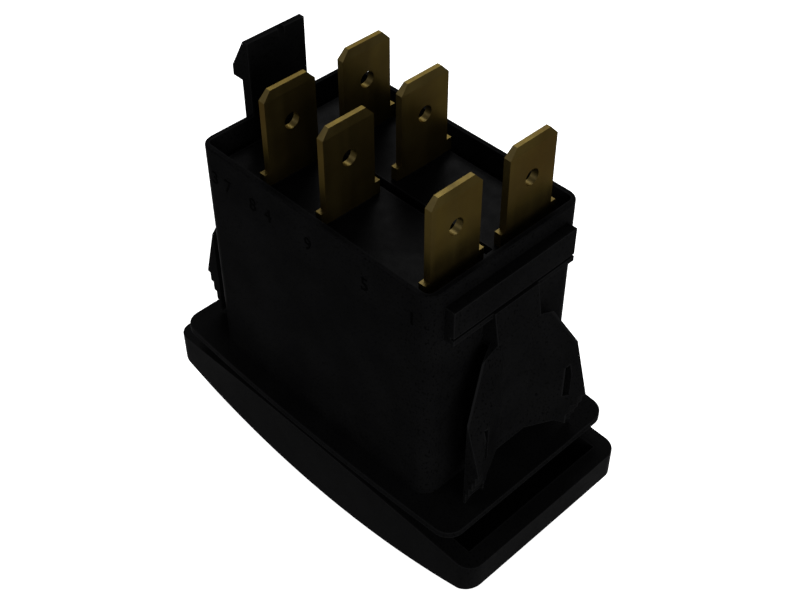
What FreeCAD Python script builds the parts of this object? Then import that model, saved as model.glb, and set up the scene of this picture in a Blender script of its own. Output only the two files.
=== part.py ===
import FreeCAD, Part
import math
import operator
import os
import Sketcher

# Panel rocker switch: a two-pole, centre-off snap-in switch with six tab terminals.
# The origin is the centre of the face that bears on the panel. +Z points to the terminals and
# +X runs along the long side, away from the lock tongue. Lengths in millimetres, angles in degrees.

SIZES = {
    # Housing box, measured from the panel face
    "body_half_length": 16.3,
    "body_half_width": 10.4,
    "body_corner": 1.7,
    "body_height": 27.6,
    "rim_wall": 0.65,
    "rim_edge": 0.15,
    "ledge_depth": 7.0,
    "lower_wall": 2.0,
    "inner_corner": 0.7,
    "front_wall_inside": 1.2,
    "front_opening_margin": 2.0,
    "flange_end_reach": 5.2,
    "flange_side_reach": 1.9,
    "flange_corner": 2.0,
    "flange_side_radius": 346.0,
    "flange_thick": 0.8,
    # Bar and lip across each end of the box
    "bar_inset": 2.05,
    "bar_reach": 1.2,
    "bar_below_rim": 1.9,
    "bar_height": 3.2,
    "bar_groove": 0.3,
    "bar_groove_reach": 0.8,
    "lip_height": 0.6,
    # Snap wings
    "stem_half_width": 3.05,
    "stem_reach": 1.4,
    "wing_top": 18.6,
    "wing_face_reach": 2.0,
    "wing_tip_reach": 5.0,
    "wing_root_thick": 1.3,
    "wing_tip_thick": 1.9,
    "wing_inset": 2.3,
    "strip_half_width": 2.1,
    "strip_foot": 2.6,
    "wing_foot": 0.3,
    "cut_past": 1.0,
    "stem_foot_drop": 1.0,
    "ramp_fall_out": 3.5,
    "ramp_fall_along": 0.42,
    "ramp_shoulder": 1.2,
    "ramp_edge": 0.05,
    "slit_inner": 5.7,
    "slit_width": 0.65,
    "slit_top": 10.4,
    "slit_foot": 6.1,
    "step_top": 5.4,
    "step_height": 1.2,
    "step_depth": 0.4,
    "step_count": 4,
    # Lock tongue for the connector
    "tongue_half_width": 3.7,
    "tongue_reach": 0.65,
    "tongue_height": 8.6,
    "tongue_tip_thick": 0.7,
    "barb_reach": 1.4,
    "barb_low": 3.85,
    "barb_high": 5.05,
    "notch_middle": 0.7,
    "notch_width": 0.75,
    "notch_depth": 0.9,
    # Terminal base
    "base_gap": 0.05,
    "base_top_depth": 3.3,
    "platform_depth": 2.0,
    "platform_margin": 1.25,
    "platform_corner": 0.6,
    "groove_half_width": 0.5,
    "groove_end_margin": 0.5,
    "groove_depth": 1.2,
    "divider_half_width": 0.5,
    "divider_drop": 8.0,
    "divider_end_gap": 0.3,
    # Tab terminals
    "pole_inset": 4.775,
    "first_row_inset": 8.1,
    "third_row_inset": 2.5,
    "tab_half_width": 3.175,
    "tab_thick": 0.8,
    "tab_above_rim": 8.67,
    "tab_corner_high": 1.0,
    "tab_corner_wide": 0.9,
    "tab_bevel_high": 1.0,
    "tab_bevel_deep": 0.13,
    "tab_hole_radius": 0.9,
    "tab_hole_below_top": 4.43,
    "lug_reach": 0.65,
    "lug_height": 1.51,
    "stem_tab_half_width": 2.5,
    "slot_gap": 0.05,
    "foot_thick": 0.8,
    "foot_half_width": 2.0,
    "foot_past_contact": 1.2,
    "leg_end_radius": 0.42,
    # Contacts and rocking blades
    "swing": 7.0,
    "contact_inset": 1.2,
    "contact_radius": 1.2,
    "contact_height": 0.7,
    "contact_bevel": 0.15,
    "contact_gap": 0.05,
    "pivot_depth": 9.0,
    "pivot_gap": 0.02,
    "blade_past_contact": 1.5,
    "blade_thick": 0.8,
    "blade_half_width": 2.2,
    "ear_half_length": 1.3,
    "ear_height": 0.9,
    "ear_thick": 0.3,
    "ear_gap": 0.1,
    # Rocker carrier, plungers and springs
    "axle_height": 3.1,
    "trunnion_radius": 1.2,
    "trunnion_gap": 0.05,
    "trunnion_reach": 1.2,
    "trunnion_end_gap": 0.2,
    "carrier_end_gap": 0.2,
    "carrier_half_top": 3.5,
    "carrier_half_waist": 4.0,
    "carrier_rise": 7.0,
    "carrier_foot_half": 6.0,
    "carrier_foot_thick": 2.8,
    "bore_radius": 1.95,
    "bore_floor_thick": 3.3,
    "plunger_gap": 0.05,
    "plunger_tip_radius": 1.5,
    "plunger_tip_gap": 0.04,
    "plunger_cap_angle": 30.0,
    "plunger_neck": 2.6,
    "plunger_length": 12.6,
    "spigot_radius": 1.0,
    "spigot_length": 1.5,
    "spring_radius": 1.4,
    "spring_wire": 0.4,
    "spring_turns": 3,
    # Rocker paddle
    "paddle_end_reach": 2.56,
    "paddle_side_inset": 0.5,
    "paddle_corner": 1.8,
    "paddle_wall": 1.95,
    "paddle_front": 2.3,
    "paddle_edge_chamfer": 0.35,
    "paddle_rim_drop": 2.45,
    "paddle_rim_radius": 500.0,
    "paddle_face_drop": 10.88,
    "paddle_face_radius": 73.5,
    "seat_rise": 0.68,
    "socket_wall": 1.2,
    "socket_gap": 0.02,
    "hook_reach": 0.5,
    "hook_height": 0.8,
}


class Size:
    """A number together with the sheet expression that gives it."""

    def __init__(self, number, text):
        self.number = number
        self.text = text

    def __add__(self, other):
        return combined(self, "+", other)

    def __radd__(self, other):
        return combined(other, "+", self)

    def __sub__(self, other):
        return combined(self, "-", other)

    def __rsub__(self, other):
        return combined(other, "-", self)

    def __mul__(self, other):
        return combined(self, "*", other)

    def __rmul__(self, other):
        return combined(other, "*", self)

    def __truediv__(self, other):
        return combined(self, "/", other)

    def __neg__(self):
        return combined(0, "-", self)


OPERATIONS = {"+": operator.add, "-": operator.sub, "*": operator.mul, "/": operator.truediv}


def as_size(value):
    return value if isinstance(value, Size) else Size(float(value), repr(float(value)))


def combined(first, sign, second):
    first = as_size(first)
    second = as_size(second)
    number = OPERATIONS[sign](first.number, second.number)
    return Size(number, "(%s %s %s)" % (first.text, sign, second.text))


def sine(angle):
    return Size(math.sin(math.radians(angle.number)), "sin(%s)" % angle.text)


def cosine(angle):
    return Size(math.cos(math.radians(angle.number)), "cos(%s)" % angle.text)


def tangent(angle):
    return Size(math.tan(math.radians(angle.number)), "tan(%s)" % angle.text)


def sagitta(radius, half_chord):
    """How far an arc bulges past the chord between its ends."""
    flat = radius * radius - half_chord * half_chord
    return radius - Size(math.sqrt(flat.number), "sqrt(%s)" % flat.text)


class Named:
    """The sheet's sizes by name."""


S = Named()
for size_name, size_number in SIZES.items():
    setattr(S, size_name, Size(float(size_number), "Sizes." + size_name))

# Levels that several pieces share, above or below the panel face
RIM = S.body_height
LEDGE = RIM - S.ledge_depth
PLATFORM = RIM - S.platform_depth
TAB_TOP = RIM + S.tab_above_rim
FLANGE_UNDERSIDE = -S.flange_thick
FOOT_UNDERSIDE = LEDGE - S.foot_thick
PIVOT = RIM - S.pivot_depth - S.pivot_gap
CAVITY_HALF_LENGTH = S.body_half_length - S.lower_wall
CAVITY_HALF_WIDTH = S.body_half_width - S.lower_wall
WELL_HALF_LENGTH = S.body_half_length - S.rim_wall
WELL_HALF_WIDTH = S.body_half_width - S.rim_wall
PLATFORM_HALF_LENGTH = WELL_HALF_LENGTH - S.platform_margin
FLANGE_HALF_LENGTH = S.body_half_length + S.flange_end_reach
FLANGE_HALF_WIDTH = S.body_half_width + S.flange_side_reach
WING_HALF_WIDTH = S.body_half_width - S.wing_inset
WING_FACE = S.body_half_length + S.wing_face_reach
WING_TIP = S.body_half_length + S.wing_tip_reach
PADDLE_HALF_LENGTH = FLANGE_HALF_LENGTH + S.paddle_end_reach
PADDLE_HALF_WIDTH = FLANGE_HALF_WIDTH - S.paddle_side_inset
POLE_OFFSET = WELL_HALF_WIDTH - S.pole_inset
FIRST_ROW = S.first_row_inset - S.body_half_length
SECOND_ROW = as_size(0)
THIRD_ROW = S.body_half_length - S.third_row_inset
CONTACT_REACH = -FIRST_ROW - S.contact_inset
BLADE_LENGTH = CONTACT_REACH + S.blade_past_contact
CARRIER_HALF_WIDTH = CAVITY_HALF_WIDTH - S.carrier_end_gap
PIVOT_TO_CONTACT = FOOT_UNDERSIDE - S.contact_height - PIVOT
TIP_CENTRE = PIVOT - (S.blade_thick + S.plunger_tip_gap + S.plunger_tip_radius) / cosine(S.swing)
PADDLE_RIM = FLANGE_UNDERSIDE - S.paddle_rim_drop
PADDLE_FACE = FLANGE_UNDERSIDE - S.paddle_face_drop
PADDLE_FLOOR = PADDLE_FACE + S.paddle_front
CARRIER_FOOT = PADDLE_FLOOR + S.seat_rise
CARRIER_FOOT_TOP = CARRIER_FOOT + S.carrier_foot_thick
BORE_FLOOR = CARRIER_FOOT + S.bore_floor_thick
PADDLE_WELL_HALF_LENGTH = PADDLE_HALF_LENGTH - S.paddle_wall
PADDLE_WELL_HALF_WIDTH = PADDLE_HALF_WIDTH - S.paddle_wall


def bind(item, path, value):
    item.setExpression(path, as_size(value).text)


def fill_sheet(doc):
    sheet = doc.addObject("Spreadsheet::Sheet", "Sizes")
    for row, (name, number) in enumerate(SIZES.items(), start=1):
        sheet.set("A%d" % row, name)
        sheet.set("B%d" % row, str(number))
        sheet.setAlias("B%d" % row, name)
    doc.recompute()


def new_body(doc, name):
    body = doc.addObject("PartDesign::Body", name)
    body.Label = name
    return body


def rectangle(u0, u1, v0, v1):
    return [(u0, v0), (u1, v0), (u1, v1), (u0, v1)]


def rounded_rectangle(half_u, half_v, corner, side_radius=None):
    """Counterclockwise loop round the origin; a side radius bows the long sides."""
    flat_u = half_u - corner
    flat_v = half_v - corner
    bow = () if side_radius is None else (side_radius,)
    return [(half_u, -flat_v, corner), (half_u, flat_v), (flat_u, half_v, corner),
            (-flat_u, half_v) + bow, (-half_u, flat_v, corner), (-half_u, -flat_v),
            (-flat_u, -half_v, corner), (flat_u, -half_v) + bow]


def circle(u, v, radius):
    return {"centre": (u, v), "radius": radius}


def fix_point(drawing, index, point_number, u, v):
    """Hold a point of the drawing at sheet-driven distances from its origin."""
    for kind, value in (("DistanceX", as_size(u)), ("DistanceY", as_size(v))):
        rule = Sketcher.Constraint(kind, -1, 1, index, point_number, value.number)
        bind(drawing, "Constraints[%d]" % drawing.addConstraint(rule), value)


def fix_radius(drawing, index, radius):
    rule = Sketcher.Constraint("Radius", index, radius.number)
    bind(drawing, "Constraints[%d]" % drawing.addConstraint(rule), radius)


def plain_point(item):
    return FreeCAD.Vector(as_size(item[0]).number, as_size(item[1]).number, 0)


def arc_between(start, end, radius, turn):
    """Minor arc from start to end; turn is 1 counterclockwise, -1 clockwise."""
    half_chord = (end - start) / 2
    rise = math.sqrt(radius ** 2 - half_chord.Length ** 2)
    left = FreeCAD.Vector(-half_chord.y, half_chord.x, 0).normalize()
    centre = start + half_chord + left * (rise * turn)
    first, last = (start, end) if turn > 0 else (end, start)
    whole = Part.Circle(centre, FreeCAD.Vector(0, 0, 1), radius)
    return Part.ArcOfCircle(whole, whole.parameter(first), whole.parameter(last))


def draw_loop(drawing, loop):
    """Closed run of lines and arcs. A third number is the radius of the arc to that point."""
    runs = []
    for previous, item in zip([loop[-1]] + loop[:-1], loop):
        start, end = plain_point(previous), plain_point(item)
        if len(item) == 2:
            index = drawing.addGeometry(Part.LineSegment(start, end))
            runs.append((index, 1, 2))
            fix_point(drawing, index, 2, item[0], item[1])
            continue
        turn = 1 if item[2].number > 0 else -1
        radius = item[2] * turn
        index = drawing.addGeometry(arc_between(start, end, radius.number, turn))
        first_end = (1, 2) if turn > 0 else (2, 1)
        runs.append((index,) + first_end)
        fix_point(drawing, index, first_end[1], item[0], item[1])
        fix_radius(drawing, index, radius)
    for (index, _, end_number), (next_index, start_number, _) in zip(runs, runs[1:] + runs[:1]):
        drawing.addConstraint(
            Sketcher.Constraint("Coincident", index, end_number, next_index, start_number))


def sketch(body, plane, at, loops):
    """Loops on a plane of the body, moved by `at` along the axis that crosses the plane."""
    drawing = body.newObject("Sketcher::SketchObject", body.Label + "_sketch")
    flat = [item for item in body.Origin.OriginFeatures if item.Role == plane + "_Plane"][0]
    drawing.AttachmentSupport = [(flat, "")]
    drawing.MapMode = "FlatFace"
    bind(drawing, "AttachmentOffset.Base.z", -as_size(at) if plane == "XZ" else at)
    for loop in loops:
        if isinstance(loop, dict):
            centre = loop["centre"]
            ring = Part.Circle(plain_point(centre), FreeCAD.Vector(0, 0, 1), loop["radius"].number)
            index = drawing.addGeometry(ring)
            fix_point(drawing, index, 3, centre[0], centre[1])
            fix_radius(drawing, index, loop["radius"])
        else:
            draw_loop(drawing, loop)
    return drawing


def extrude(body, kind, name, plane, at, loops, length):
    """XY features start at `at`; the others reach half the length to each side of it."""
    drawing = sketch(body, plane, at, loops)
    feature = body.newObject("PartDesign::" + kind, name)
    feature.Profile = drawing
    if plane != "XY":
        feature.SideType = "Symmetric"
    bind(feature, "Length", length)
    return feature


def pad(body, name, plane, at, loops, length):
    return extrude(body, "Pad", name, plane, at, loops, length)


def pocket(body, name, plane, at, loops, length):
    """XY pockets go down from `at`."""
    return extrude(body, "Pocket", name, plane, at, loops, length)


def revolve(body, name, loop):
    """Turn a profile of (radius, height) points round the body's own Z axis."""
    drawing = sketch(body, "XZ", 0, [loop])
    feature = body.newObject("PartDesign::Revolution", name)
    feature.Profile = drawing
    feature.ReferenceAxis = (drawing, ["V_Axis"])
    feature.Angle = 360
    return feature


def ease_edges(body, kind, name, size, wanted):
    """Fillet or chamfer the edges of the body so far that the test picks."""
    body.Document.recompute()
    before = body.Tip
    picked = ["Edge%d" % number for number, edge in enumerate(before.Shape.Edges, start=1)
              if wanted(edge)]
    feature = body.newObject("PartDesign::" + kind, name)
    feature.Base = (before, picked)
    bind(feature, "Radius" if kind == "Fillet" else "Size", size)
    return feature


def place(body, x, y, z, tilt=None):
    """Put a body down by the sheet, turned about the axle direction where a tilt is given."""
    if tilt is not None:
        turn = FreeCAD.Rotation(FreeCAD.Vector(0, 1, 0), as_size(tilt).number)
        body.Placement = FreeCAD.Placement(FreeCAD.Vector(), turn)
        bind(body, "Placement.Rotation.Angle", tilt)
    for axis, value in (("x", x), ("y", y), ("z", z)):
        bind(body, "Placement.Base." + axis, value)


def near(value, size):
    return abs(value - as_size(size).number) < 0.01


def wing_section(station, shoulder, foot, side):
    """Outline of a snap wing cut at a distance from its middle line."""
    share = (station - S.strip_half_width) / (WING_HALF_WIDTH - S.strip_half_width)
    front = WING_FACE + (WING_TIP - WING_FACE) * share
    thick = S.wing_root_thick + (S.wing_tip_thick - S.wing_root_thick) * share
    back = front - thick
    crest = S.wing_top - S.ramp_fall_out * (front - WING_FACE)
    crest = crest - S.ramp_fall_along * (station - S.strip_half_width)
    top = crest + S.ramp_fall_out * (thick - shoulder)
    points = [(back, foot), (front, foot), (front, crest), (back + shoulder, top), (back, top)]
    return [(x * side, z) for x, z in points]


def add_half_wing(body, side_x, side_y):
    """One flared leaf: lofted from the strip to its outer edge, slit and stepped."""
    label = "Wing%s%s" % ("Far" if side_x > 0 else "Near", "Right" if side_y > 0 else "Left")
    middle = (S.strip_half_width + WING_HALF_WIDTH) / 2
    stations = [
        (S.strip_half_width - S.ramp_edge, S.wing_root_thick - S.ramp_edge, S.strip_foot),
        (middle, S.ramp_edge, S.strip_foot),
        (WING_HALF_WIDTH, S.ramp_edge, S.wing_foot)]
    sections = [sketch(body, "XZ", station * side_y, [wing_section(station, edge, foot, side_x)])
                for station, edge, foot in stations]
    leaf = body.newObject("PartDesign::AdditiveLoft", label)
    leaf.Profile = sections[0]
    leaf.Sections = sections[1:]
    leaf.Ruled = True
    inside = (S.body_half_length + S.cut_past) * side_x
    outside = (WING_TIP + S.cut_past) * side_x
    slit = rectangle(inside, outside, S.slit_foot, S.slit_top)
    slit_middle = S.slit_inner + S.slit_width / 2
    pocket(body, label + "Slit", "XZ", slit_middle * side_y, [slit], S.slit_width)
    plate_inner = S.slit_inner + S.slit_width
    plate_width = WING_HALF_WIDTH - plate_inner + S.cut_past
    pocket(body, label + "Steps", "XZ", (plate_inner + plate_width / 2) * side_y,
           [step_outline(side_x)], plate_width)


def step_outline(side):
    """Stairs that grip the panel edge, cut into the wing below its widest point."""
    outer = WING_TIP + S.cut_past
    points = [(outer, S.step_top)]
    for step in range(SIZES["step_count"]):
        x = WING_TIP - S.step_depth * (step + 1)
        points.append((x, S.step_top - S.step_height * step))
        points.append((x, S.step_top - S.step_height * (step + 1)))
    low = S.wing_foot / 2
    points += [(points[-1][0], low), (outer, low)]
    return [(x * side, z) for x, z in drop_repeats(points)]


def drop_repeats(points):
    """Leave out a point whose neighbours share its column."""
    kept = []
    for number, point in enumerate(points):
        following = points[(number + 1) % len(points)]
        before = points[number - 1]
        same = near(before[0].number, point[0]) and near(following[0].number, point[0])
        if not same:
            kept.append(point)
    return kept


def end_fittings(body, side):
    """Bar, lip, stem and strip at one end of the box."""
    wall = (S.body_half_length - S.rim_wall / 2) * side
    front = (S.body_half_length + S.bar_reach) * side
    groove = (S.body_half_length + S.bar_groove_reach) * side
    bar_top = RIM - S.bar_below_rim
    bar_foot = bar_top - S.bar_height
    lip_top = bar_foot - S.bar_groove
    lip_foot = lip_top - S.lip_height
    label = "Far" if side > 0 else "Near"
    profile = [(wall, lip_foot), (front, lip_foot), (front, lip_top), (groove, lip_top),
               (groove, bar_foot), (front, bar_foot), (front, bar_top), (wall, bar_top)]
    pad(body, label + "Bar", "XZ", 0, [profile], (S.body_half_width - S.bar_inset) * 2)
    stem_front = (S.body_half_length + S.stem_reach) * side
    wing_front = WING_FACE * side
    stem_foot = S.wing_top - S.stem_foot_drop
    stem = [(wall, stem_foot), (wing_front, stem_foot),
            (wing_front, S.wing_top), (stem_front, lip_top), (wall, lip_top)]
    pad(body, label + "Stem", "XZ", 0, [stem], S.stem_half_width * 2)
    strip_back = wing_front - S.wing_root_thick * side
    strip = rectangle(strip_back, wing_front, S.strip_foot, S.wing_top)
    pad(body, label + "Strip", "XZ", 0, [strip], S.strip_half_width * 2)


def add_tongue(body):
    """Barbed tongue that the connector clips on, with a sloped notch inside its top edge."""
    inner = -WELL_HALF_LENGTH
    outer = -S.body_half_length - S.tongue_reach
    barb = outer - S.barb_reach
    foot = RIM - S.bar_below_rim - S.bar_height
    top = RIM + S.tongue_height
    tip = inner - S.tongue_tip_thick
    profile = [(inner, foot), (inner, top), (tip, top), (barb, RIM + S.barb_high),
               (barb, RIM + S.barb_low), (outer, RIM + S.barb_low), (outer, foot)]
    pad(body, "Tongue", "XZ", 0, [profile], S.tongue_half_width * 2)
    notch = [(inner + S.cut_past, top), (tip, top), (inner, top - S.notch_depth),
             (inner + S.cut_past, top - S.notch_depth)]
    pocket(body, "TongueNotch", "XZ", S.notch_middle, [notch], S.notch_width)


def housing_shell(doc):
    body = new_body(doc, "housing_shell")
    outline = rounded_rectangle(S.body_half_length, S.body_half_width, S.body_corner)
    pad(body, "Box", "XY", FLANGE_UNDERSIDE, [outline], RIM - FLANGE_UNDERSIDE)
    ease_edges(body, "Chamfer", "RimEdge", S.rim_edge,
               lambda edge: near(edge.BoundBox.ZMin, RIM) and near(edge.BoundBox.ZMax, RIM))
    flange = rounded_rectangle(FLANGE_HALF_LENGTH, FLANGE_HALF_WIDTH, S.flange_corner,
                               S.flange_side_radius)
    pad(body, "Flange", "XY", FLANGE_UNDERSIDE, [flange], S.flange_thick)
    well = rounded_rectangle(WELL_HALF_LENGTH, WELL_HALF_WIDTH, S.inner_corner)
    pocket(body, "Well", "XY", RIM, [well], S.ledge_depth)
    cavity = rounded_rectangle(CAVITY_HALF_LENGTH, CAVITY_HALF_WIDTH, S.inner_corner)
    pocket(body, "Cavity", "XY", LEDGE, [cavity], LEDGE - S.front_wall_inside)
    front_opening = S.carrier_half_waist + S.front_opening_margin
    opening = rectangle(-front_opening, front_opening, -CAVITY_HALF_WIDTH, CAVITY_HALF_WIDTH)
    pocket(body, "FrontOpening", "XY", S.front_wall_inside, [opening],
           S.front_wall_inside + S.flange_thick)
    hole = circle(0, S.axle_height, S.trunnion_radius + S.trunnion_gap)
    pocket(body, "TrunnionHoles", "XZ", 0, [hole], (CAVITY_HALF_WIDTH + S.trunnion_reach) * 2)
    for side in (1, -1):
        end_fittings(body, side)
        for side_y in (1, -1):
            add_half_wing(body, side, side_y)
    add_tongue(body)


def terminal_base(doc):
    body = new_body(doc, "terminal_base")
    block = rounded_rectangle(WELL_HALF_LENGTH - S.base_gap, WELL_HALF_WIDTH - S.base_gap,
                              S.inner_corner)
    pad(body, "Block", "XY", LEDGE, [block], S.ledge_depth - S.base_top_depth)
    platform = rounded_rectangle(PLATFORM_HALF_LENGTH, WELL_HALF_WIDTH - S.platform_margin,
                                 S.platform_corner)
    pad(body, "Platform", "XY", LEDGE, [platform], PLATFORM - LEDGE)
    groove_end = PLATFORM_HALF_LENGTH - S.groove_end_margin
    groove = rectangle(-groove_end, groove_end, -S.groove_half_width, S.groove_half_width)
    pocket(body, "Groove", "XY", PLATFORM, [groove], S.groove_depth)
    divider_half_length = CAVITY_HALF_LENGTH - S.divider_end_gap
    divider = rectangle(-divider_half_length, divider_half_length, -S.divider_half_width,
                        S.divider_half_width)
    pad(body, "Divider", "XY", LEDGE - S.divider_drop, [divider], S.divider_drop)
    half_thick = S.tab_thick / 2 + S.slot_gap
    half_wide = S.stem_tab_half_width + S.slot_gap
    slots = [rectangle(row - half_thick, row + half_thick, POLE_OFFSET * side - half_wide,
                       POLE_OFFSET * side + half_wide)
             for row in (FIRST_ROW, SECOND_ROW, THIRD_ROW) for side in (1, -1)]
    pocket(body, "Slots", "XY", PLATFORM, slots, PLATFORM - LEDGE)


def tab_outline(y):
    """Front view of a tab from its lugs to its chamfered tip."""
    lug_top = PLATFORM + S.lug_height
    half = [(S.tab_half_width + S.lug_reach, PLATFORM), (S.tab_half_width + S.lug_reach, lug_top),
            (S.tab_half_width, lug_top), (S.tab_half_width, TAB_TOP - S.tab_corner_high),
            (S.tab_half_width - S.tab_corner_wide, TAB_TOP)]
    return [(y + u, v) for u, v in half] + [(y - u, v) for u, v in reversed(half)]


def tab_terminal(doc, name, row, side, leg, foot_end=None):
    """Flat tab with two lugs, a hole, a bevelled tip and a leg through the base."""
    body = new_body(doc, name)
    y = POLE_OFFSET * side
    pad(body, "Tab", "YZ", row, [tab_outline(y)], S.tab_thick)
    hole = circle(y, TAB_TOP - S.tab_hole_below_top, S.tab_hole_radius)
    pocket(body, "Hole", "YZ", row, [hole], S.tab_thick * 2)
    bevels = []
    for face in (1, -1):
        edge = row + S.tab_thick / 2 * face
        bevels.append([(edge - S.tab_bevel_deep * face, TAB_TOP), (edge, TAB_TOP - S.tab_bevel_high),
                       (edge + S.tab_thick * face, TAB_TOP - S.tab_bevel_high),
                       (edge + S.tab_thick * face, TAB_TOP)])
    pocket(body, "Bevels", "XZ", y, bevels, S.tab_half_width * 4)
    pad(body, "Leg", "XZ", y, [leg], S.stem_tab_half_width * 2)
    if foot_end is not None:
        add_foot(body, row, y, foot_end)


def add_foot(body, row, y, foot_end):
    """Plate under the base that carries the fixed contact."""
    toward = 1 if foot_end.number > row.number else -1
    start = row - S.tab_thick / 2 * toward
    low, high = sorted((start, foot_end), key=lambda size: size.number)
    plate = rectangle(low, high, y - S.foot_half_width, y + S.foot_half_width)
    pad(body, "Foot", "XY", FOOT_UNDERSIDE, [plate], S.foot_thick)


def straight_leg(row):
    """Side view of the common leg, whose round end is the blade's pivot."""
    half = S.tab_thick / 2
    shoulder = RIM - S.pivot_depth + sagitta(S.leg_end_radius, half)
    return [(row + half, shoulder, S.leg_end_radius), (row + half, PLATFORM),
            (row - half, PLATFORM), (row - half, shoulder)]


def bent_leg(row):
    """Side view of an outer leg, down to the top of its foot plate's underside."""
    half = S.tab_thick / 2
    return rectangle(row - half, row + half, FOOT_UNDERSIDE, PLATFORM)


def fixed_contact(doc, name, side_x, side_y):
    """Contact button on the underside of its foot plate."""
    body = new_body(doc, name)
    revolve(body, "Turned", [
        (0, -S.contact_height), (S.contact_radius, -S.contact_height), (S.contact_radius, 0), (0, 0)])
    place(body, CONTACT_REACH * side_x, POLE_OFFSET * side_y, FOOT_UNDERSIDE)


def moving_contact(doc, name, side_x, side_y):
    """Contact button on one arm of a rocking blade, square to that arm."""
    body = new_body(doc, name)
    height = PIVOT_TO_CONTACT - S.contact_gap
    revolve(body, "Turned", [
        (0, 0), (S.contact_radius, 0), (S.contact_radius, height - S.contact_bevel),
        (S.contact_radius - S.contact_bevel, height), (0, height)])
    place(body, CONTACT_REACH * cosine(S.swing) * side_x, POLE_OFFSET * side_y,
          PIVOT - CONTACT_REACH * sine(S.swing), S.swing * side_x)


def contact_blade(doc, name, side_y):
    """Shallow bent blade that rocks under the common leg, kept in line by two ears."""
    body = new_body(doc, name)
    along, down = cosine(S.swing), sine(S.swing)
    end_x, end_z = BLADE_LENGTH * along, -BLADE_LENGTH * down
    low_x, low_z = end_x - S.blade_thick * down, end_z - S.blade_thick * along
    bend = [(0, 0), (-end_x, end_z), (-low_x, low_z), (0, -S.blade_thick / along),
            (low_x, low_z), (end_x, end_z)]
    pad(body, "Arms", "XZ", 0, [bend], S.blade_half_width * 2)
    ear_low = -S.blade_thick
    seat_half = S.stem_tab_half_width + S.ear_gap
    ears = rectangle(-S.ear_half_length, S.ear_half_length, ear_low, S.ear_height)
    for side in (1, -1):
        middle = (seat_half + S.ear_thick / 2) * side
        pad(body, "Ear%s" % ("Right" if side > 0 else "Left"), "XZ", middle, [ears], S.ear_thick)
    web_x = S.ear_half_length
    web_fall = -web_x * tangent(S.swing)
    web = [(0, 0), (-web_x, web_fall), (-web_x, web_fall - S.blade_thick), (0, -S.blade_thick / along),
           (web_x, web_fall - S.blade_thick), (web_x, web_fall)]
    pad(body, "Web", "XZ", 0, [web], (seat_half + S.ear_thick) * 2)
    place(body, 0, POLE_OFFSET * side_y, PIVOT)


def plunger(doc, name, side_y):
    """Round-nosed plunger; its origin is the centre of the nose."""
    body = new_body(doc, name)
    nose = S.plunger_tip_radius
    stem = S.bore_radius - S.plunger_gap
    step = stem - nose
    foot = -S.plunger_length
    cap = nose * sine(S.plunger_cap_angle)
    cap_height = nose * cosine(S.plunger_cap_angle)
    cone_foot = cap_height - (nose - cap) * tangent(S.plunger_cap_angle)
    revolve(body, "Turned", [
        (0, foot - S.spigot_length), (S.spigot_radius, foot - S.spigot_length),
        (S.spigot_radius, foot), (stem, foot), (stem, -S.plunger_neck - step),
        (nose, -S.plunger_neck), (nose, cone_foot), (cap, cap_height), (0, nose, nose)])
    place(body, 0, POLE_OFFSET * side_y, TIP_CENTRE)


def spring(doc, name, side_y):
    """Coil of square wire between the bore's floor and the plunger's shoulder."""
    body = new_body(doc, name)
    wire = rectangle(S.spring_radius - S.spring_wire / 2, S.spring_radius + S.spring_wire / 2,
                     0, S.spring_wire)
    drawing = sketch(body, "XZ", 0, [wire])
    coil = body.newObject("PartDesign::AdditiveHelix", "Coil")
    coil.Profile = drawing
    coil.ReferenceAxis = (drawing, ["V_Axis"])
    coil.Mode = "height-turns-angle"
    bind(coil, "Height", TIP_CENTRE - S.plunger_length - BORE_FLOOR - S.spring_wire)
    bind(coil, "Turns", S.spring_turns)
    place(body, 0, POLE_OFFSET * side_y, BORE_FLOOR)


def rocker_carrier(doc):
    """Hub that swings in the housing on two trunnions and carries the plungers."""
    body = new_body(doc, "rocker_carrier")
    top = S.axle_height + S.carrier_rise
    half = [(S.carrier_foot_half, CARRIER_FOOT), (S.carrier_foot_half, CARRIER_FOOT_TOP),
            (S.carrier_half_waist, CARRIER_FOOT_TOP), (S.carrier_half_waist, S.axle_height),
            (S.carrier_half_top, top)]
    profile = half + [(-u, v) for u, v in reversed(half)]
    pad(body, "Hub", "XZ", 0, [profile], CARRIER_HALF_WIDTH * 2)
    reach = CAVITY_HALF_WIDTH + S.trunnion_reach - S.trunnion_end_gap
    pad(body, "Trunnions", "XZ", 0, [circle(0, S.axle_height, S.trunnion_radius)], reach * 2)
    bores = [circle(0, POLE_OFFSET * side, S.bore_radius) for side in (1, -1)]
    pocket(body, "Bores", "XY", top, bores, top - BORE_FLOOR)


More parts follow.
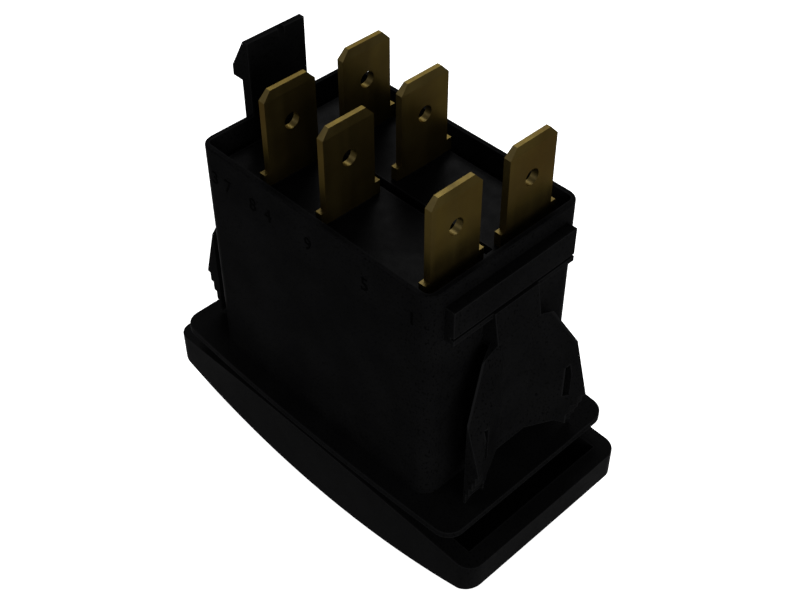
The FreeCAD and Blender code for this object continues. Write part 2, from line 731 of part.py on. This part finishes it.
def rocker_paddle(doc):
    """Hollow cap with a bulging face and a hooked socket for the carrier's foot."""
    body = new_body(doc, "rocker_paddle")
    half = PADDLE_HALF_LENGTH
    rim_end = PADDLE_RIM - sagitta(S.paddle_rim_radius, half)
    face_end = PADDLE_FACE + sagitta(S.paddle_face_radius, half)
    profile = [(half, rim_end), (-half, rim_end, S.paddle_rim_radius), (-half, face_end),
               (half, face_end, S.paddle_face_radius)]
    pad(body, "Cap", "XZ", 0, [profile], PADDLE_HALF_WIDTH * 2)
    ease_edges(body, "Fillet", "Corners", S.paddle_corner,
               lambda edge: near(edge.BoundBox.XLength, 0) and near(edge.BoundBox.YLength, 0))
    ease_edges(body, "Chamfer", "FaceEdge", S.paddle_edge_chamfer,
               lambda edge: edge.BoundBox.ZMax < face_end.number + 0.1)
    inner = PADDLE_WELL_HALF_LENGTH
    floor_radius = S.paddle_face_radius - S.paddle_front
    floor_end = PADDLE_FLOOR + sagitta(floor_radius, inner)
    hollow = [(inner, PADDLE_RIM), (-inner, PADDLE_RIM), (-inner, floor_end),
              (inner, floor_end, floor_radius)]
    pocket(body, "Hollow", "XZ", 0, [hollow], PADDLE_WELL_HALF_WIDTH * 2)
    add_socket(body)


def add_socket(body):
    """Seat with a hooked wall on each side, across the whole hollow."""
    wall_in = S.carrier_foot_half + S.socket_gap
    wall_out = wall_in + S.socket_wall
    hook_foot = CARRIER_FOOT_TOP + S.socket_gap
    top = hook_foot + S.hook_height
    low = PADDLE_FLOOR - S.paddle_front / 4
    half = [(wall_out, low), (wall_out, top), (wall_in, top), (wall_in - S.hook_reach, hook_foot),
            (wall_in, hook_foot), (wall_in, CARRIER_FOOT)]
    profile = half + [(-u, v) for u, v in reversed(half)]
    pad(body, "Socket", "XZ", 0, [profile], (PADDLE_WELL_HALF_WIDTH + S.paddle_wall / 4) * 2)


def make_pole(doc, name, side):
    """Terminals, contacts, blade, plunger and spring of one of the two poles."""
    rows = {"first": (FIRST_ROW, -1), "third": (THIRD_ROW, 1)}
    tab_terminal(doc, "terminal_common_" + name, SECOND_ROW, side, straight_leg(SECOND_ROW))
    for row_name, (row, side_x) in rows.items():
        foot_end = (CONTACT_REACH - S.foot_past_contact) * side_x
        label = "%s_%s" % (row_name, name)
        tab_terminal(doc, "terminal_" + label, row, side, bent_leg(row), foot_end)
        fixed_contact(doc, "fixed_contact_" + label, side_x, side)
        moving_contact(doc, "moving_contact_" + label, side_x, side)
    contact_blade(doc, "contact_blade_" + name, side)
    plunger(doc, "plunger_" + name, side)
    spring(doc, "plunger_spring_" + name, side)


def check(doc):
    """Stop on any object that failed, and on any piece that isn't one sound solid."""
    for item in doc.Objects:
        if "Invalid" in item.State or "Error" in item.State:
            raise RuntimeError("%s is %s" % (item.Name, item.State))
        if hasattr(item, "Shape") and item.TypeId.startswith("PartDesign"):
            if item.Shape.isNull() or not item.Shape.isValid():
                raise RuntimeError(item.Name + " has no sound shape")


def main():
    doc = FreeCAD.newDocument("RockerSwitch")
    fill_sheet(doc)
    housing_shell(doc)
    terminal_base(doc)
    make_pole(doc, "left", -1)
    make_pole(doc, "right", 1)
    rocker_carrier(doc)
    rocker_paddle(doc)
    doc.recompute()
    check(doc)
    os.makedirs("parts", exist_ok=True)
    for item in doc.Objects:
        if item.TypeId == "PartDesign::Body":
            if len(item.Shape.Solids) != 1:
                raise RuntimeError(item.Label + " isn't one solid")
            item.Shape.exportStep("parts/%s.step" % item.Label)


main()
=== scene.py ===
import math

import bmesh
import bpy
from mathutils import Matrix, Vector


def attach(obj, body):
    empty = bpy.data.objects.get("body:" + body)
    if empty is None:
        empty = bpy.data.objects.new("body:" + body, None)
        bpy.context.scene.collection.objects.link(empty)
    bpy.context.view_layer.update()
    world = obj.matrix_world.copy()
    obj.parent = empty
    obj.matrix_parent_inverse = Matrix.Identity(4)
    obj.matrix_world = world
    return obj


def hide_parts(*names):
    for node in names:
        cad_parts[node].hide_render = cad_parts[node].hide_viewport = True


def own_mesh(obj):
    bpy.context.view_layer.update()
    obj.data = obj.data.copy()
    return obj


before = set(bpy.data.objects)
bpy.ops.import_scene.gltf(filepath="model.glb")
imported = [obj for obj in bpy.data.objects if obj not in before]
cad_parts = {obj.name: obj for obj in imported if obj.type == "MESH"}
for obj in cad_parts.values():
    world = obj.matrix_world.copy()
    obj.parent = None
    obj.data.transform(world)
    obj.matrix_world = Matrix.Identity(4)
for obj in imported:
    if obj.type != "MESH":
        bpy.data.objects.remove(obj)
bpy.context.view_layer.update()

MM = 0.001

# The photograph's camera
CAMERA_PLACE = (0.072172, -0.068207, 0.104935)
CAMERA_AIM = (-0.518082, 0.503401, -0.691505)
CAMERA_RIGHT = (0.697644, 0.716444, -0.001125)
CAMERA_SENSOR = 36
CAMERA_LENS = 57.823
CAMERA_CLIP = (0.005, 20)

# Lamps: place, what it points at, side of the square and watts
LAMPS = {
    "key": ((-0.27, 0.26, 0.40), (0, 0, 0.03), 0.25, 1.9),
    "left": ((-0.33, -0.40, 0.32), (0, 0, 0.01), 0.3, 0.6),
    "right": ((0.4, -0.16, 0.13), (0, 0, 0.01), 0.25, 1.75),
}

# World and floor
SKY_LIGHT = 0.33
FLOOR_Z = -11.68 * MM
FLOOR_HALF = 3.0
FLOOR_COLOUR = (0.82, 0.82, 0.82)
FLOOR_GLOW_SEEN = 0.74
FLOOR_GLOW_MIRRORED = 0.2

# Rounds on the edges of the CAD nodes
MOULDED = ("housing_shell", "terminal_base", "rocker_paddle", "rocker_carrier")
MOULDED_ROUND = 0.07 * MM
STAMPED = ("terminal_first", "terminal_common", "terminal_third", "contact_blade")
STAMPED_ROUND = 0.025 * MM
ROUND_SEGMENTS = 2
SHARP_ANGLE = math.radians(35)

# Noise textures, in features per metre
CLOUDS = 180
RIPPLES = 700
SPECKS = 4500
GRAIN = 9000
STAINS = 260
BRUSHING = 900
NOISE_RANGE = (0.3, 0.7)
TONE_STOPS = (0.35, 0.65)

# Specks of the moulded plastic, and a painted highlight: a lighter line along its outer edges
SPECK_RANGE = (0.34, 0.42)
SPECK_SHADE = 0.45
# Colour of the painted highlight along the outer edges of the moulded plastic
PAINTED_HIGHLIGHT = (0.005, 0.005, 0.0052)
PAINTED_HIGHLIGHT_WIDTH = 0.25 * MM
PAINTED_HIGHLIGHT_RANGE = (0.85, 0.55)
PAINTED_HIGHLIGHT_SAMPLES = 8

COAT_ROUGHNESS = 0.3

# Some plastics carry the colour of a painted highlight along their outer edges
PLASTICS = {
    "housing_black": {
        "dark": (0.0021, 0.0021, 0.0022), "light": (0.003, 0.003, 0.0031),
        "rough": (0.34, 0.46), "gloss": 0.0008, "grain": 0.006 * MM, "painted_highlight": PAINTED_HIGHLIGHT},
    "base_black": {
        "dark": (0.0013, 0.0013, 0.0014), "light": (0.0019, 0.0019, 0.002),
        "rough": (0.34, 0.46), "gloss": 0.006, "grain": 0.006 * MM, "painted_highlight": PAINTED_HIGHLIGHT},
    "paddle_black": {
        "dark": (0.0022, 0.0022, 0.0023), "light": (0.003, 0.003, 0.0031),
        "rough": (0.3, 0.42), "gloss": 0.002, "grain": 0.005 * MM, "painted_highlight": PAINTED_HIGHLIGHT},
    "carrier_black": {
        "dark": (0.002, 0.002, 0.0021), "light": (0.003, 0.003, 0.0032),
        "rough": (0.4, 0.5), "gloss": 0.01, "grain": 0.006 * MM},
    "plunger_nylon": {
        "dark": (0.62, 0.6, 0.53), "light": (0.72, 0.7, 0.63),
        "rough": (0.35, 0.5), "gloss": 0.5, "grain": 0.006 * MM},
    # Digits: same black plastic as the wall, painted darker as painted shade around their relief
    "digit_painted_shade": {
        "dark": (0.0003, 0.0003, 0.0003), "light": (0.0006, 0.0006, 0.0006),
        "rough": (0.5, 0.6), "gloss": 0.001, "grain": 0.004 * MM},
}
METALS = {
    "tab_brass": {
        "dark": (0.0252, 0.0178, 0.005), "light": (0.0338, 0.0248, 0.0076),
        "rough": (0.32, 0.44), "brushed": (1, 1, 0.06), "scratch": 0.003 * MM,
        "sheen": (0.6, 0.5, 0.3), "metallic": 0.86, "lacquer": 0.045},
    "contact_silver": {
        "dark": (0.66, 0.64, 0.6), "light": (0.78, 0.76, 0.72),
        "rough": (0.25, 0.4), "brushed": (1, 1, 1), "scratch": 0.004 * MM},
    "blade_copper": {
        "dark": (0.5, 0.24, 0.13), "light": (0.62, 0.33, 0.2),
        "rough": (0.28, 0.42), "brushed": (0.06, 1, 1), "scratch": 0.006 * MM},
    "spring_steel": {
        "dark": (0.38, 0.38, 0.4), "light": (0.5, 0.5, 0.52),
        "rough": (0.22, 0.35), "brushed": (1, 1, 1), "scratch": 0.002 * MM},
}
# How the names of the CAD nodes begin that wear each material
WEARERS = {
    "housing_black": ("housing_shell",),
    "base_black": ("terminal_base",),
    "paddle_black": ("rocker_paddle",),
    "carrier_black": ("rocker_carrier",),
    "plunger_nylon": ("plunger_left", "plunger_right"),
    "tab_brass": ("terminal_first", "terminal_common", "terminal_third"),
    "contact_silver": ("fixed_contact", "moving_contact"),
    "blade_copper": ("contact_blade",),
    "spring_steel": ("plunger_spring",),
}

# Digits on the wall towards -Y, with the places of their middles along X
NEAR_WALL = -10.4 * MM
DIGITS = "3784951"
DIGIT_PLACES = (-14.0, -12.0, -8.1, -5.8, 0.1, 8.0, 14.2)
DIGIT_HEIGHT = 24.2 * MM
DIGIT_SIZE = 2.2 * MM
DIGIT_RELIEF = 0.05 * MM
DIGIT_CURVE_STEPS = 4

# Springs under the plungers, with the Y of each pole
POLES = {"left": -4.975 * MM, "right": 4.975 * MM}
SPRING_FOOT = -5.4 * MM
SPRING_TOP = 3.6 * MM
SPRING_TURNS = 8
COIL_RADIUS = 1.4 * MM
COIL_STEPS = 32
WIRE_RADIUS = 0.2 * MM
WIRE_SIDES = 12
CLOSED_PITCH = 2.05 * WIRE_RADIUS


def new_material(name):
    """A node material, its tree and its shader."""
    material = bpy.data.materials.new(name)
    material.use_nodes = True
    return material, material.node_tree, material.node_tree.nodes["Principled BSDF"]


def noise(tree, scale, detail, stretch=None):
    """Noise in object space, in features per metre, stretched where asked."""
    place = tree.nodes.new("ShaderNodeTexCoord").outputs["Object"]
    texture = tree.nodes.new("ShaderNodeTexNoise")
    texture.inputs["Scale"].default_value = scale
    texture.inputs["Detail"].default_value = detail
    if stretch is not None:
        mapping = tree.nodes.new("ShaderNodeMapping")
        mapping.inputs["Scale"].default_value = stretch
        tree.links.new(place, mapping.inputs["Vector"])
        place = mapping.outputs["Vector"]
    tree.links.new(place, texture.inputs["Vector"])
    return texture.outputs["Fac"]


def remap(tree, value, given, wanted=(0.0, 1.0)):
    """The value, with the range given turned into the range wanted."""
    reach = tree.nodes.new("ShaderNodeMapRange")
    for socket, number in zip(("From Min", "From Max", "To Min", "To Max"), (*given, *wanted)):
        reach.inputs[socket].default_value = number
    tree.links.new(value, reach.inputs["Value"])
    return reach.outputs["Result"]


def two_tones(tree, texture, dark, light):
    """Two colours, laid out by the texture."""
    ramp = tree.nodes.new("ShaderNodeValToRGB")
    for stop, position, colour in zip(ramp.color_ramp.elements, TONE_STOPS, (dark, light)):
        stop.position = position
        stop.color = (*colour, 1)
    tree.links.new(texture, ramp.inputs["Fac"])
    return ramp.outputs["Color"]


def painted(tree, paint, colour, share, under="A", over="B"):
    """The colour, with a plain paint over it where the share says."""
    mix = tree.nodes.new("ShaderNodeMix")
    mix.data_type = "RGBA"
    mix.inputs[over].default_value = (*paint, 1)
    tree.links.new(share, mix.inputs["Factor"])
    tree.links.new(colour, mix.inputs[under])
    return mix.outputs["Result"]


def specked(tree, colour, speck):
    """The colour with small scattered specks of another colour, in the texture's low places."""
    clear = remap(tree, noise(tree, SPECKS, 2), SPECK_RANGE)
    return painted(tree, speck, colour, clear, under="B", over="A")


def painted_edge_highlight(tree, colour, painted_highlight):
    """A painted highlight: the colour, turned lighter in a thin line along the outer edges."""
    reach = tree.nodes.new("ShaderNodeAmbientOcclusion")
    reach.inside = True
    reach.samples = PAINTED_HIGHLIGHT_SAMPLES
    reach.inputs["Distance"].default_value = PAINTED_HIGHLIGHT_WIDTH
    edge = remap(tree, reach.outputs["AO"], PAINTED_HIGHLIGHT_RANGE)
    return painted(tree, painted_highlight, colour, edge)


def add_bumps(tree, shader, layers):
    """Bump layers of (texture, height in metres), one on top of the other."""
    below = None
    for texture, height in layers:
        bump = tree.nodes.new("ShaderNodeBump")
        bump.inputs["Distance"].default_value = height
        tree.links.new(texture, bump.inputs["Height"])
        if below is not None:
            tree.links.new(below, bump.inputs["Normal"])
        below = bump.outputs["Normal"]
    tree.links.new(below, shader.inputs["Normal"])


def moulded_plastic(name, dark, light, rough, gloss, grain, painted_highlight=None):
    """Moulded plastic: faint clouds, specks, uneven sheen, a fine grain and, where asked, a
    painted highlight along the outer edges.
    """
    material, tree, shader = new_material(name)
    clouds = two_tones(tree, noise(tree, CLOUDS, 3), dark, light)
    colour = specked(tree, clouds, [SPECK_SHADE * part for part in dark])
    # Painted highlight: a lighter line along the outer edges
    if painted_highlight is not None:
        colour = painted_edge_highlight(tree, colour, painted_highlight)
    ripples = noise(tree, RIPPLES, 3)
    tree.links.new(colour, shader.inputs["Base Color"])
    tree.links.new(remap(tree, ripples, NOISE_RANGE, rough), shader.inputs["Roughness"])
    add_bumps(tree, shader, [(ripples, grain * 2), (noise(tree, GRAIN, 2), grain)])
    shader.inputs["Specular IOR Level"].default_value = gloss
    return material


def rolled_metal(name, dark, light, rough, brushed, scratch, sheen=(1, 1, 1), metallic=1.0,
                 lacquer=0.0):
    """Rolled sheet: brushed along one direction, with stains and a few deeper marks."""
    material, tree, shader = new_material(name)
    brushing = noise(tree, BRUSHING, 5, brushed)
    stains = noise(tree, STAINS, 5)
    tree.links.new(two_tones(tree, stains, dark, light), shader.inputs["Base Color"])
    tree.links.new(remap(tree, brushing, NOISE_RANGE, rough), shader.inputs["Roughness"])
    add_bumps(tree, shader, [(brushing, scratch), (stains, scratch)])
    shader.inputs["Metallic"].default_value = metallic
    shader.inputs["Specular IOR Level"].default_value = 0.0
    shader.inputs["Specular Tint"].default_value = (*sheen, 1)
    shader.inputs["Coat Weight"].default_value = lacquer
    shader.inputs["Coat Roughness"].default_value = COAT_ROUGHNESS
    return material


def nodes_named(starts):
    """The CAD nodes whose names begin so."""
    return [node for name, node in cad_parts.items() if name.startswith(starts)]


def make_materials():
    """Every material by its name, put on the CAD nodes that wear it."""
    materials = {name: moulded_plastic(name, **look) for name, look in PLASTICS.items()}
    materials |= {name: rolled_metal(name, **look) for name, look in METALS.items()}
    for name, starts in WEARERS.items():
        for node in nodes_named(starts):
            node.data.materials.clear()
            node.data.materials.append(materials[name])
    return materials


def ease_edges(starts, width):
    """Small rounds on the edges of the nodes whose names begin so."""
    for node in nodes_named(starts):
        bevel = node.modifiers.new("eased", "BEVEL")
        bevel.width = width
        bevel.segments = ROUND_SEGMENTS
        bevel.limit_method = "ANGLE"
        bevel.angle_limit = SHARP_ANGLE
        bevel.harden_normals = True


def new_object(name, data):
    """An object in the scene."""
    thing = bpy.data.objects.new(name, data)
    bpy.context.scene.collection.objects.link(thing)
    return thing


def make_camera():
    """The photograph's camera, found by fitting the box, tabs and paddle."""
    camera = new_object("Camera", bpy.data.cameras.new("Camera"))
    camera.location = CAMERA_PLACE
    aim, right = Vector(CAMERA_AIM), Vector(CAMERA_RIGHT)
    camera.rotation_euler = Matrix((right, right.cross(aim), -aim)).transposed().to_euler()
    camera.data.sensor_width = CAMERA_SENSOR
    camera.data.lens = CAMERA_LENS
    camera.data.clip_start, camera.data.clip_end = CAMERA_CLIP
    bpy.context.scene.camera = camera


def make_lamps():
    """Square area lamps, each turned to what it points at."""
    for name, (place, aim, side, power) in LAMPS.items():
        light = bpy.data.lights.new(name, "AREA")
        light.shape = "RECTANGLE"
        light.size = light.size_y = side
        light.energy = power
        lamp = new_object(name, light)
        lamp.location = place
        lamp.rotation_euler = (Vector(aim) - Vector(place)).to_track_quat("-Z", "Y").to_euler()


def calculated(tree, operation, *values):
    """A Math node's result, from values that are numbers or outputs."""
    node = tree.nodes.new("ShaderNodeMath")
    node.operation = operation
    for socket, value in zip(node.inputs, values):
        if isinstance(value, float):
            socket.default_value = value
        else:
            tree.links.new(value, socket)
    return node.outputs[0]


def ray_kinds(tree):
    """1 for camera rays, and 1 for glossy and transmission rays, else 0."""
    rays = tree.nodes.new("ShaderNodeLightPath").outputs
    mirrored = calculated(tree, "MAXIMUM", rays["Is Glossy Ray"], rays["Is Transmission Ray"])
    return rays["Is Camera Ray"], mirrored


def make_world():
    """Soft even light, which shows as white to the camera and in reflections."""
    world = bpy.data.worlds.new("World")
    bpy.context.scene.world = world
    world.use_nodes = True
    tree = world.node_tree
    background = tree.nodes["Background"]
    background.inputs["Color"].default_value = (1, 1, 1, 1)
    shown = calculated(tree, "MAXIMUM", *ray_kinds(tree))
    strength = calculated(tree, "MULTIPLY_ADD", shown, 1.0 - SKY_LIGHT, SKY_LIGHT)
    tree.links.new(strength, background.inputs["Strength"])


def make_floor():
    """Pale floor that shows as white to the camera and in reflections, and keeps the shadow."""
    corners = [(x * FLOOR_HALF, y * FLOOR_HALF, FLOOR_Z)
               for x, y in ((-1, -1), (1, -1), (1, 1), (-1, 1))]
    mesh = bpy.data.meshes.new("floor")
    mesh.from_pydata(corners, [], [(0, 1, 2, 3)])
    floor = new_object("floor", mesh)
    material, tree, shader = new_material("floor_white")
    shader.inputs["Base Color"].default_value = (*FLOOR_COLOUR, 1)
    shader.inputs["Roughness"].default_value = 1.0
    shader.inputs["Specular IOR Level"].default_value = 0.0
    shader.inputs["Emission Color"].default_value = (1, 1, 1, 1)
    seen, mirrored = ray_kinds(tree)
    in_metal = calculated(tree, "MULTIPLY", mirrored, FLOOR_GLOW_MIRRORED)
    glow = calculated(tree, "MULTIPLY_ADD", seen, FLOOR_GLOW_SEEN, in_metal)
    tree.links.new(glow, shader.inputs["Emission Strength"])
    mesh.materials.append(material)


def make_digits(material):
    """Small plain digits standing in low relief on the wall towards -Y, in a material painted
    darker than the wall as painted shade.
    """
    for x, digit in zip(DIGIT_PLACES, DIGITS):
        curve = bpy.data.curves.new("digit_" + digit, "FONT")
        curve.body = digit
        curve.align_x = "CENTER"
        curve.align_y = "CENTER"
        curve.size = DIGIT_SIZE
        curve.extrude = DIGIT_RELIEF
        curve.resolution_u = DIGIT_CURVE_STEPS
        curve.materials.append(material)
        piece = new_object("wall_digit_" + digit, curve)
        piece.location = (x * MM, NEAR_WALL, DIGIT_HEIGHT)
        piece.rotation_euler = (math.radians(90), 0, 0)
        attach(piece, "housing")


def coil_rings(y):
    """Circles of points along a spring's wire, from its closed foot to its closed top."""
    length = SPRING_TOP - SPRING_FOOT - 2 * WIRE_RADIUS
    pitch = (length - 2 * CLOSED_PITCH) / (SPRING_TURNS - 2)
    height, rings = SPRING_FOOT + WIRE_RADIUS, []
    for step in range(SPRING_TURNS * COIL_STEPS + 1):
        turn = 2 * math.pi * step / COIL_STEPS
        is_open = COIL_STEPS <= step < (SPRING_TURNS - 1) * COIL_STEPS
        climb = pitch if is_open else CLOSED_PITCH
        outward = Vector((math.cos(turn), math.sin(turn), 0))
        slope = climb / (2 * math.pi * COIL_RADIUS)
        along = Vector((-math.sin(turn), math.cos(turn), slope))
        upward = outward.cross(along).normalized()
        centre = Vector((0, y, height)) + COIL_RADIUS * outward
        angles = [2 * math.pi * side / WIRE_SIDES for side in range(WIRE_SIDES)]
        rings.append([centre + WIRE_RADIUS * (math.cos(angle) * outward + math.sin(angle) * upward)
                      for angle in angles])
        height += climb / COIL_STEPS
    return rings


def coil_mesh(name, y):
    """A closed tube through the rings of a coil."""
    shape = bmesh.new()
    rings = [[shape.verts.new(point) for point in ring] for ring in coil_rings(y)]
    for low, high in zip(rings, rings[1:]):
        for side in range(WIRE_SIDES):
            shape.faces.new((low[side - 1], low[side], high[side], high[side - 1]))
    shape.faces.new(rings[0])
    shape.faces.new(rings[-1])
    bmesh.ops.recalc_face_normals(shape, faces=shape.faces)
    for face in shape.faces:
        face.smooth = len(face.verts) == 4
    mesh = bpy.data.meshes.new(name)
    shape.to_mesh(mesh)
    shape.free()
    return mesh


def make_springs(material):
    """Round-wire coils, carried by the rocker, in place of the hidden CAD springs."""
    for pole, y in POLES.items():
        mesh = coil_mesh("spring_coil_" + pole, y)
        mesh.materials.append(material)
        piece = new_object("spring_coil_" + pole, mesh)
        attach(piece, "rocker")
        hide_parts("plunger_spring_" + pole)
        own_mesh(piece)


bpy.context.scene.view_settings.view_transform = "Standard"
make_camera()
make_world()
make_floor()
MATERIALS = make_materials()
ease_edges(MOULDED, MOULDED_ROUND)
ease_edges(STAMPED, STAMPED_ROUND)
make_digits(MATERIALS["digit_painted_shade"])
make_springs(MATERIALS["spring_steel"])
make_lamps()
